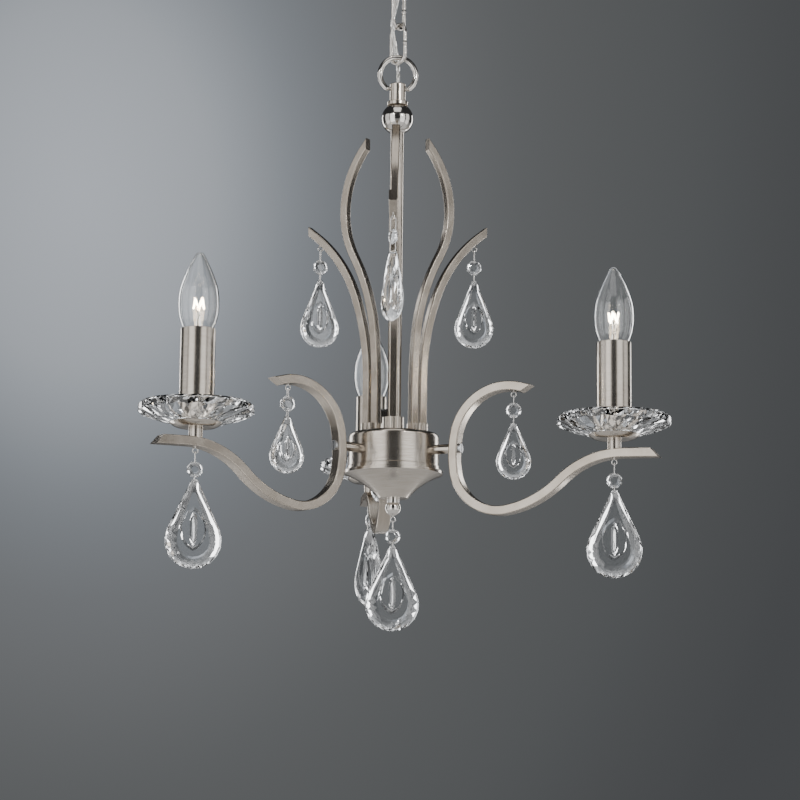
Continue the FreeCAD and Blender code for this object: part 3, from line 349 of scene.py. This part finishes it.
def rounded(points, steps):
    """More points along a line, curved smoothly through those given."""
    result = []
    for k in range(len(points) - 1):
        a = points[max(k - 1, 0)]
        b = points[k]
        c = points[k + 1]
        d = points[min(k + 2, len(points) - 1)]
        for n in range(steps):
            t = n / steps
            result.append(0.5 * (2 * b + (c - a) * t + (2 * a - 5 * b + 4 * c - d) * t * t
                                 + (3 * b - a - 3 * c + d) * t ** 3))
    return result + [points[-1]]


def oblong(half_width, low, high, corner, count=6):
    """A closed oblong with round corners in the XZ plane."""
    points = []
    for x, z, start in ((half_width - corner, high - corner, 0.0), (corner - half_width, high - corner, 90.0),
                        (corner - half_width, low + corner, 180.0),
                        (half_width - corner, low + corner, 270.0)):
        for k in range(count + 1):
            a = math.radians(start + 90.0 * k / count)
            points.append(Vector((x + corner * math.cos(a), 0.0, z + corner * math.sin(a))))
    return points


# ---------------------------------------------------------------- cut glass
def teardrop(length, width, count):
    """Outline of a pear drop hanging down from z = 0, as (across, height)."""
    radius = width / 2
    centre = radius - length
    lift = math.asin((radius - 2.2) / (length - radius))
    outline = [(2.2, 0.0)]
    for k in range(3):
        share = (k + 1) / 4.0
        outline.append((2.2 + (radius * math.cos(lift) - 2.2) * share,
                        (centre + radius * math.sin(lift)) * share))
    for k in range(count + 1):
        a = lift - (math.pi + 2 * lift) * k / count
        outline.append((radius * math.cos(a), centre + radius * math.sin(a)))
    return outline + [(-x, z) for x, z in reversed(outline[:4])], centre


def shrunk(outline, centre, across, above, below):
    return [(x * across, centre + (z - centre) * (above if z > centre else below)) for x, z in outline]


def halfway(outline):
    """The points between an outline's points, for a row of facets staggered against its neighbours."""
    return [((a[0] + b[0]) / 2, (a[1] + b[1]) / 2) for a, b in zip(outline, outline[1:] + outline[:1])]


def almond(length, half_width, middle, face, depth, floor):
    """A pointed cutter for one face, at its place along X; floor is its bottom's share of the width."""
    points = []
    side = 1.0 if face > 0 else -1.0
    for k in range(13):
        share = k / 6.0 - 1.0
        across = half_width * (1.0 - share * share) ** 0.7
        for sign in (-1.0, 1.0):
            points.append((face + side * 0.6, sign * across, middle + share * length / 2))
            points.append((face - side * depth, sign * across * floor, middle + share * length * 0.4))
    return hull(points, "almond", CRYSTAL)


def cross_drill(z, reach):
    drill = lathe([(0.0, -reach), (HOLE_R, -reach), (HOLE_R, reach), (0.0, reach)], "drill", CRYSTAL,
                  steps=12)
    drill.transform(Matrix.Translation((0, 0, z * MM)) @ Matrix.Rotation(math.pi / 2, 4, "Y"))
    return drill


def pear_mesh(length, width, thickness):
    """A flat pear with four rows of facets round a table that carries an almond cut on each face."""
    outline, centre = teardrop(length, width, 12)
    rows = (
        (outline, 0.8),
        (shrunk(outline, centre, 0.92, 0.965, 0.93), thickness * 0.27),
        (shrunk(halfway(outline), centre, 0.76, 0.88, 0.78), thickness * 0.415),
        (shrunk(outline, centre, 0.58, 0.78, 0.60), thickness * 0.5),
    )
    points = []
    for ring, depth in rows:
        points += [(side * depth, y, z) for y, z in ring for side in (-1.0, 1.0)]
    body = hull(points, "pear", CRYSTAL)
    middle = -0.56 * length
    cutters = [cross_drill(-PEAR_HOLE, thickness)]
    for side in (-1.0, 1.0):
        face = side * thickness / 2
        cutters.append(almond(0.52 * length, 0.24 * width, middle, face, 0.07 * thickness, 0.86))
        cutters.append(almond(0.42 * length, 0.115 * width, middle, face, 0.2 * thickness, 0.0))
    return carved(body, cutters)


def bead_mesh():
    """An eight-sided bead with two staggered rows of facets and a hole at each end."""
    points = []
    for radius, depth, turn in ((BEAD_R, 0.7, 22.5), (5.5, 2.0, 0.0), (3.0, BEAD_T / 2, 22.5)):
        for k in range(8):
            a = math.radians(45.0 * k + turn)
            for side in (-1.0, 1.0):
                points.append((side * depth, radius * math.cos(a), radius * math.sin(a)))
    return carved(hull(points, "bead", CRYSTAL),
                  [cross_drill(side * BEAD_HOLE, BEAD_T) for side in (-1.0, 1.0)])


def pan_mesh():
    """A thick dish with staggered flat facets underneath and round its rim, and a turned hollow."""
    bm = bmesh.new()

    def ring(radius, z, count, turn):
        return [bm.verts.new(on_circle(radius, 360.0 * k / count + turn, z)) for k in range(count)]

    def band(a, b, staggered=False):
        count = len(a)
        for k in range(count):
            n = (k + 1) % count
            if staggered:
                bm.faces.new((a[k], a[n], b[k]))
                bm.faces.new((b[k], a[n], b[n]))
            else:
                bm.faces.new((a[k], a[n], b[n], b[k]))

    def fluted(radius, z, depth):
        corners = ring(radius, z, 36, 0.0)
        for corner in corners[::2]:
            corner.co.z += depth
        return corners

    seat = ring(24.6, 0.0, 36, 0.0)
    belly = fluted(38.6, 4.1, 1.3)
    edge_low = fluted(49.2, 8.4, 1.5)
    edge_high = ring(49.2, 14.4, 36, 0.0)
    rim = ring(46.3, 17.0, 36, 5.0)
    lip = ring(43.8, 17.0, 36, 5.0)
    wall = fluted(32.0, 10.8, -0.9)
    floor = ring(20.0, 5.2, 36, 5.0)
    hole_top = ring(16.4, 5.2, 36, 5.0)
    hole_low = ring(16.4, 0.0, 36, 5.0)
    for a, b in ((rim, edge_high), (lip, wall), (hole_low, seat)):
        band(a, b, staggered=True)
    band(floor, wall, staggered=True)
    for a, b in ((seat, belly), (belly, edge_low), (edge_low, edge_high), (rim, lip), (floor, hole_top),
                 (hole_top, hole_low)):
        band(a, b)
    return mesh_from(bm, "pan", [CRYSTAL])


# ---------------------------------------------------------------- drops
bead_blank = bead_mesh()
for row in DROP_ROWS:
    family, radius, anchor, bead_drop, link, length, width, thickness, azimuths, faces = row
    pear_blank = pear_mesh(length, width, thickness)
    for k, (azimuth, facing) in enumerate(zip(azimuths, faces)):
        tag = family if family == "centre" else "%s_%d" % (family, k + 1)
        bead_z = anchor - bead_drop
        pear_top = bead_z - link
        eye_low = anchor - EYE_DROP - EYE_REACH
        axis = on_circle(radius, azimuth, 0.0)
        pieces = (
            ("bead_", bead_blank, bead_z, bead_z + BEAD_HOLE, eye_low),
            ("pear_", pear_blank, pear_top, pear_top - PEAR_HOLE, bead_z - BEAD_HOLE),
        )
        for kind, blank, z, low, high in pieces:
            body = kind + tag
            cut = show(blank, kind + "glass_" + tag, standing(facing, axis + Vector((0, 0, z))))
            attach(cut, body)
            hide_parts(body)
            turned = Matrix.Rotation(math.radians(facing), 3, "Z")
            path = [turned @ point + axis for point in oblong(2.6, low, high, 0.9)]
            hook = wire(path, 0.4, kind + "wire_" + tag, WIRE, cyclic=True)
            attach(hook, body)

# ---------------------------------------------------------------- pans and bulbs
pan_blank = pan_mesh()


outer = [tuple(point) for point in rounded([Vector(pair) for pair in BULB_PROFILE], 6)]
inner = [(max(r - 0.7, 0.0), z - 0.5 * (z + 9.0) / 75.7) for r, z in outer]
envelope_blank = lathe(outer + inner[::-1], "envelope", THIN_GLASS, closed=True, angle=80.0)
cap_profile = [(0.0, -33.5), (2.4, -33.5), (2.6, -32.0), (4.5, -30.6), (6.2, -30.0)]
for k in range(6):
    z = -29.0 + 3.0 * k
    cap_profile += [(6.5, z), (6.95, z + 1.1), (6.95, z + 1.6), (6.5, z + 2.7)]
cap_profile += [(6.8, -10.0), (7.0, -8.8), (0.0, -8.8)]
cap_blank = lathe(cap_profile, "cap", BRASS, steps=40)
stem_blank = lathe([(0.0, -8.7), (4.6, -8.7), (4.2, -5.0), (2.2, 1.0), (1.6, 9.0), (1.5, 17.0), (2.1, 18.2),
                    (1.5, 19.4), (0.0, 19.8)], "stem", THIN_GLASS, steps=24, angle=60.0)


tube_blank = lathe([(15.0, 0.4 - TUBE_H), (15.0, -0.4), (14.6, 0.0), (14.2, 0.0), (14.0, -0.3),
                    (14.0, -TUBE_H),
                    (14.6, -TUBE_H)], "tube", TURNED, closed=True, steps=96)


def filament_path(legs=7, turns=9, coil=0.8):
    """A coiled wire that zigzags up and down round the stem's tip."""
    corners = []
    for k in range(legs + 1):
        a = 2 * math.pi * k / (legs + 1.0)
        corners.append(Vector((4.4 * math.cos(a), 4.4 * math.sin(a), 26.5 if k % 2 else 17.5)))
    points = []
    for start, end in zip(corners, corners[1:]):
        along = (end - start).normalized()
        side = along.cross(Vector((0, 0, 1))).normalized()
        other = along.cross(side)
        for n in range(turns * 8):
            share = n / (turns * 8.0)
            a = 2 * math.pi * turns * share
            points.append(start.lerp(end, share) + side * coil * math.cos(a) + other * coil * math.sin(a))
    return points


for k, azimuth in enumerate(ARM_AZIMUTHS):
    body = "bulb_%d" % (k + 1)
    foot = on_circle(CANDLE_R, azimuth, CUP_RIM)
    pan = show(pan_blank, "pan_glass_%d" % (k + 1), standing(azimuth, foot))
    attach(pan, "frame")
    if k == 0:
        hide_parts("glass_pans")
    candle = on_circle(CANDLE_R, azimuth, TUBE_TOP)
    tube = show(tube_blank, "candle_tube_%d" % (k + 1), standing(azimuth, candle))
    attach(tube, "frame")
    if k == 0:
        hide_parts("candle_tubes")
    place = standing(azimuth + 55.0, candle)
    for blank, label, slot in ((envelope_blank, "envelope", "bulb_glass"), (cap_blank, "cap", "zinc_steel"),
                               (stem_blank, "stem", "bulb_glass")):
        piece = show(blank, "%s_%s" % (body, label), place)
        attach(piece, body)
    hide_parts(body)
    turned = Matrix.Rotation(math.radians(azimuth + 55.0), 3, "Z")
    filament = wire([turned @ p + candle for p in filament_path()], 0.3, body + "_filament", GLOW, sides=1)
    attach(filament, body)
    for side in (-1.0, 1.0):
        end = Vector((4.4, 0.0, 17.5)) if side > 0 else Vector((3.1, -3.1, 17.5))
        support = [Vector((side, 0.0, -4.0)), Vector((side, 0.0, 10.0)), Vector((side * 2.6, 0.0, 14.5)), end]
        lead = wire([turned @ p + candle for p in support], 0.25, "%s_lead_%s" % (body, "ab"[side > 0]), WIRE)
        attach(lead, body)

# ---------------------------------------------------------------- chain
def link_path(count=12):
    half = LINK_WIDTH / 2 - LINK_WIRE
    reach = LINK_LENGTH / 2 - LINK_WIRE - half
    points = []
    radii = []
    for sign in (1.0, -1.0):
        for k in range(count + 1):
            a = math.pi * k / count + (0.0 if sign > 0 else math.pi)
            points.append(Vector((half * math.cos(a), 0.0, sign * reach + half * math.sin(a))))
            radii.append(1.0)
        if sign > 0:
            for k in range(1, 12):
                points.append(Vector((-half, 0.0, reach - 2 * reach * k / 12.0)))
                radii.append(1.0)
    for k in range(1, 24):
        z = -reach + 2 * reach * k / 24.0
        points.append(Vector((half, 0.0, z)))
        radii.append(1.0 + 0.16 * math.exp(-(z / 0.9) ** 2) - 0.12 * math.exp(-((abs(z) - 1.5) / 0.5) ** 2))
    return points, radii


path, radii = link_path()
for k in range(3):
    turned = Matrix.Rotation(math.radians(-45.0 + 90.0 * (2 - k)), 3, "Z")
    centre = Vector((0.0, 0.0, LINK_TOP_CENTRE - LINK_PITCH * k))
    link = wire([turned @ point + centre for point in path], LINK_WIRE, "link_%d" % (k + 1), POLISHED,
                cyclic=True,
                radii=radii, sides=8)
    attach(link, "chain_%d" % (k + 1))
    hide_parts("chain_link_%d" % (k + 1))

# ---------------------------------------------------------------- flex
route = [Vector((0.0, 0.0, TOP - 38.0)), Vector((0.0, 0.0, TOP - 27.0)), Vector((0.6, 3.4, TOP - 16.0))]
for k in range(3):
    z = TOP - 4.5 + LINK_PITCH * k
    route += [on_circle(5.7, 90.0 + 90.0 * k, z), on_circle(4.2, 135.0 + 90.0 * k, z + LINK_PITCH / 2)]
z = TOP - 4.5 + LINK_PITCH * 3
route += [on_circle(7.0, 0.0, z - 1.0), Vector((13.5, 0.3, z + 10.0)), Vector((21.8, 0.0, z + 19.0)),
          Vector((24.0, 0.0, -40.0)), Vector((24.0, 0.0, -19.2))]


line = rounded(route, 10)
pivots = [-192.26, -168.15, -135.15, -102.15, -69.75]
cuts = [0]
for low, high in zip(pivots, pivots[1:]):
    middle = (low + high) / 2
    cuts.append(min(range(len(line)), key=lambda i: abs(line[i].z - middle)))
cuts.append(len(line) - 1)
for k in range(5):
    part_line = line[cuts[k]:cuts[k + 1] + 1]
    sheath = as_mesh(wire(part_line, FLEX_R, "sheath", SHEATH, sides=4))
    bm = bmesh.new()
    bm.from_mesh(sheath)
    for side in (0.0, math.pi):
        core_line = []
        for n, point in enumerate(part_line):
            a = (cuts[k] + n) * 0.35 + side
            core_line.append(point + Vector((0.65 * math.cos(a), 0.65 * math.sin(a), 0.0)))
        core = as_mesh(wire(core_line, 0.5, "core", WIRE, sides=2))
        bm.from_mesh(core)
    count = len(sheath.polygons)
    bm.faces.ensure_lookup_table()
    for face in bm.faces[count:]:
        face.material_index = 1
    piece_mesh = bpy.data.meshes.new("flex_%d" % (k + 1))
    bm.to_mesh(piece_mesh)
    bm.free()
    for material in (SHEATH, WIRE):
        piece_mesh.materials.append(material)
    smoothed(piece_mesh, 60.0)
    piece = show(piece_mesh, "flex_%d" % (k + 1))
    centre = Vector((0.0, 0.0, pivots[k]))
    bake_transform(piece)
    if k == 0:
        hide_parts("flex")

# ---------------------------------------------------------------- finishes of the carried-over pieces
PLAIN = (
    (TURNED, ("ceiling_rose", "loop_barrel", "drum", "cone", "pan_cups", "stem_tube", "arm_spacers",
              "candle_posts")),
    (LENGTHWISE, ("leaf_collars",)),
    (POLISHED, ("rose_loop", "top_loop", "top_ball", "finial")),
    (ZINC, ("ceiling_plate", "rose_fixings", "tie_rod", "hub_disc", "arm_screws")),
    (WIRE, ("drop_eyes",)),
    (PLASTIC, ("terminal_block", "lampholders")),
    (RUBBER, ("flex_grommet",)),
)


def finish_node(name, material):
    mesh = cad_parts[name].data
    mesh.materials.clear()
    mesh.materials.append(material)


for material, names in PLAIN:
    for name in names:
        finish_node(name, material)
for k in range(3):
    finish_node("arm_%d" % (k + 1), BARS[k])
    finish_node("tall_leaf_%d" % (k + 1), BARS[3 + k])
    finish_node("short_leaf_%d" % (k + 1), BARS[3 + k])

# ---------------------------------------------------------------- floor, light and camera
floor_bm = bmesh.new()
bmesh.ops.create_grid(floor_bm, x_segments=1, y_segments=1, size=8000.0)
floor_finish = Finish("floor_paper", {"Roughness": 0.8})
floor_finish.surface(Base_Color=floor_finish.blend((0.60, 0.60, 0.60), (0.66, 0.66, 0.66),
                                                   floor_finish.noise((2.0, 2.0, 2.0))))
floor = show(mesh_from(floor_bm, "floor", [floor_finish.material]), "floor", Matrix.Translation((0, 0, -1.6)))

world = bpy.data.worlds.new("studio")
world.use_nodes = True
sky = Graph(world.node_tree)
facing = sky.node("TexCoord", output="Generated")
leftward = sky.node("VectorMath", {"operation": "DOT_PRODUCT"}, {0: facing, 1: (-0.994, 0.110, 0.0)}, "Value")
upward = sky.node("VectorMath", {"operation": "DOT_PRODUCT"}, {0: facing, 1: (0.0, 0.0, 1.0)}, "Value")
away = sky.node("VectorMath", {"operation": "DOT_PRODUCT"}, {0: facing, 1: (0.110, 0.994, 0.0)}, "Value")
# the backdrop's colour is painted light: a pool of light a little left of and above the middle, growing
# darker outwards
from_glow = ((leftward - 0.128) ** 2.0 + ((upward - 0.25) * 0.76) ** 2.0) ** 0.5
painted_backdrop_light = sky.node("ValToRGB", {"stops": (
    (0.0, (0.50, 0.53, 0.58)), (0.16, (0.42, 0.45, 0.49)), (0.27, (0.205, 0.225, 0.25)),
    (0.38, (0.165, 0.172, 0.18)),
    (0.55, (0.110, 0.115, 0.118)), (0.75, (0.093, 0.098, 0.101)), (0.92, (0.067, 0.070, 0.074)))},
                 {"Fac": from_glow * (1.0 / 0.32)})
seen = sky.node("LightPath", output="Is Camera Ray")
through = sky.node("LightPath", output="Is Transmission Ray")
backdrop = world.node_tree.nodes["Background"]
room = sky.node("Background", {}, {"Color": (0.035, 0.036, 0.038, 1.0)})
lit_room = sky.node("MapRange", {}, {"Value": away, "From Min": 0.92, "From Max": 0.45, "To Max": 0.85})
sky.feed(backdrop.inputs["Color"], sky.node("Mix", {"data_type": "RGBA"}, {
    "Factor": lit_room, 6: painted_backdrop_light, 7: (0.9, 0.92, 0.94, 1.0)}, 2))
both = sky.node("MixShader", {}, {
    0: seen.sum("MAXIMUM", seen, through), 1: room, 2: Value(sky, backdrop.outputs[0])})
sky.feed(world.node_tree.nodes["World Output"].inputs["Surface"], both)
bpy.context.scene.world = world

MIDDLE = Vector((0.0, 0.0, -0.45))
LIGHTS = (
    # name, azimuth, distance, height, width, length, watts
    ("left_near", 226.0, 2.2, 0.1, 1.4, 2.4, 21.0),
    ("left_far", 184.0, 2.2, 0.1, 1.4, 2.4, 11.0),
    ("right_near", 302.0, 2.2, 0.1, 1.4, 2.4, 18.0),
    ("right_far", 344.0, 2.2, 0.1, 1.2, 2.4, 10.0),
    ("left_rim", 124.0, 2.2, 0.0, 0.5, 2.2, 18.0),
    ("right_rim", 44.0, 2.2, 0.0, 0.5, 2.2, 18.0),
    ("top", 264.0, 0.8, 1.6, 1.2, 1.2, 6.0),
    ("left_spark", 236.0, 1.9, 1.1, 0.1, 0.1, 4.0),
    ("right_spark", 296.0, 1.9, 0.8, 0.1, 0.1, 4.0),
)
for name, azimuth, distance, height, wide, tall, watts in LIGHTS:
    lamp = bpy.data.lights.new(name, "AREA")
    lamp.shape = "RECTANGLE"
    lamp.size = wide
    lamp.size_y = tall
    lamp.energy = watts
    place = on_circle(distance, azimuth, height - 0.45)
    stand = bpy.data.objects.new(name, lamp)
    stand.location = place
    stand.rotation_euler = (MIDDLE - place).to_track_quat("-Z", "Y").to_euler()
    stand.visible_camera = False
    bpy.context.scene.collection.objects.link(stand)

# a wide light close over the floor, shining down, keeps the floor pale
wash = bpy.data.lights.new("floor_wash", "AREA")
wash.size = 14.0
wash.energy = 240.0
washer = bpy.data.objects.new("floor_wash", wash)
washer.location = (0.0, 0.0, -1.2)
washer.visible_camera = False
bpy.context.scene.collection.objects.link(washer)

camera = bpy.data.cameras.new("camera")
camera.lens = 112.6
camera.sensor_width = 36.0
camera.clip_end = 50.0
viewer = bpy.data.objects.new("camera", camera)
viewer.matrix_world = (
    Matrix.Rotation(math.radians(-6.3), 4, "Z")
    @ Matrix.Translation((0.0052, -2.213, (TOP - 706.0) * MM))
    @ Matrix.Rotation(math.radians(99.85), 4, "X")
    @ Matrix.Rotation(math.radians(0.63), 4, "Z")
)
bpy.context.scene.collection.objects.link(viewer)
bpy.context.scene.camera = viewer
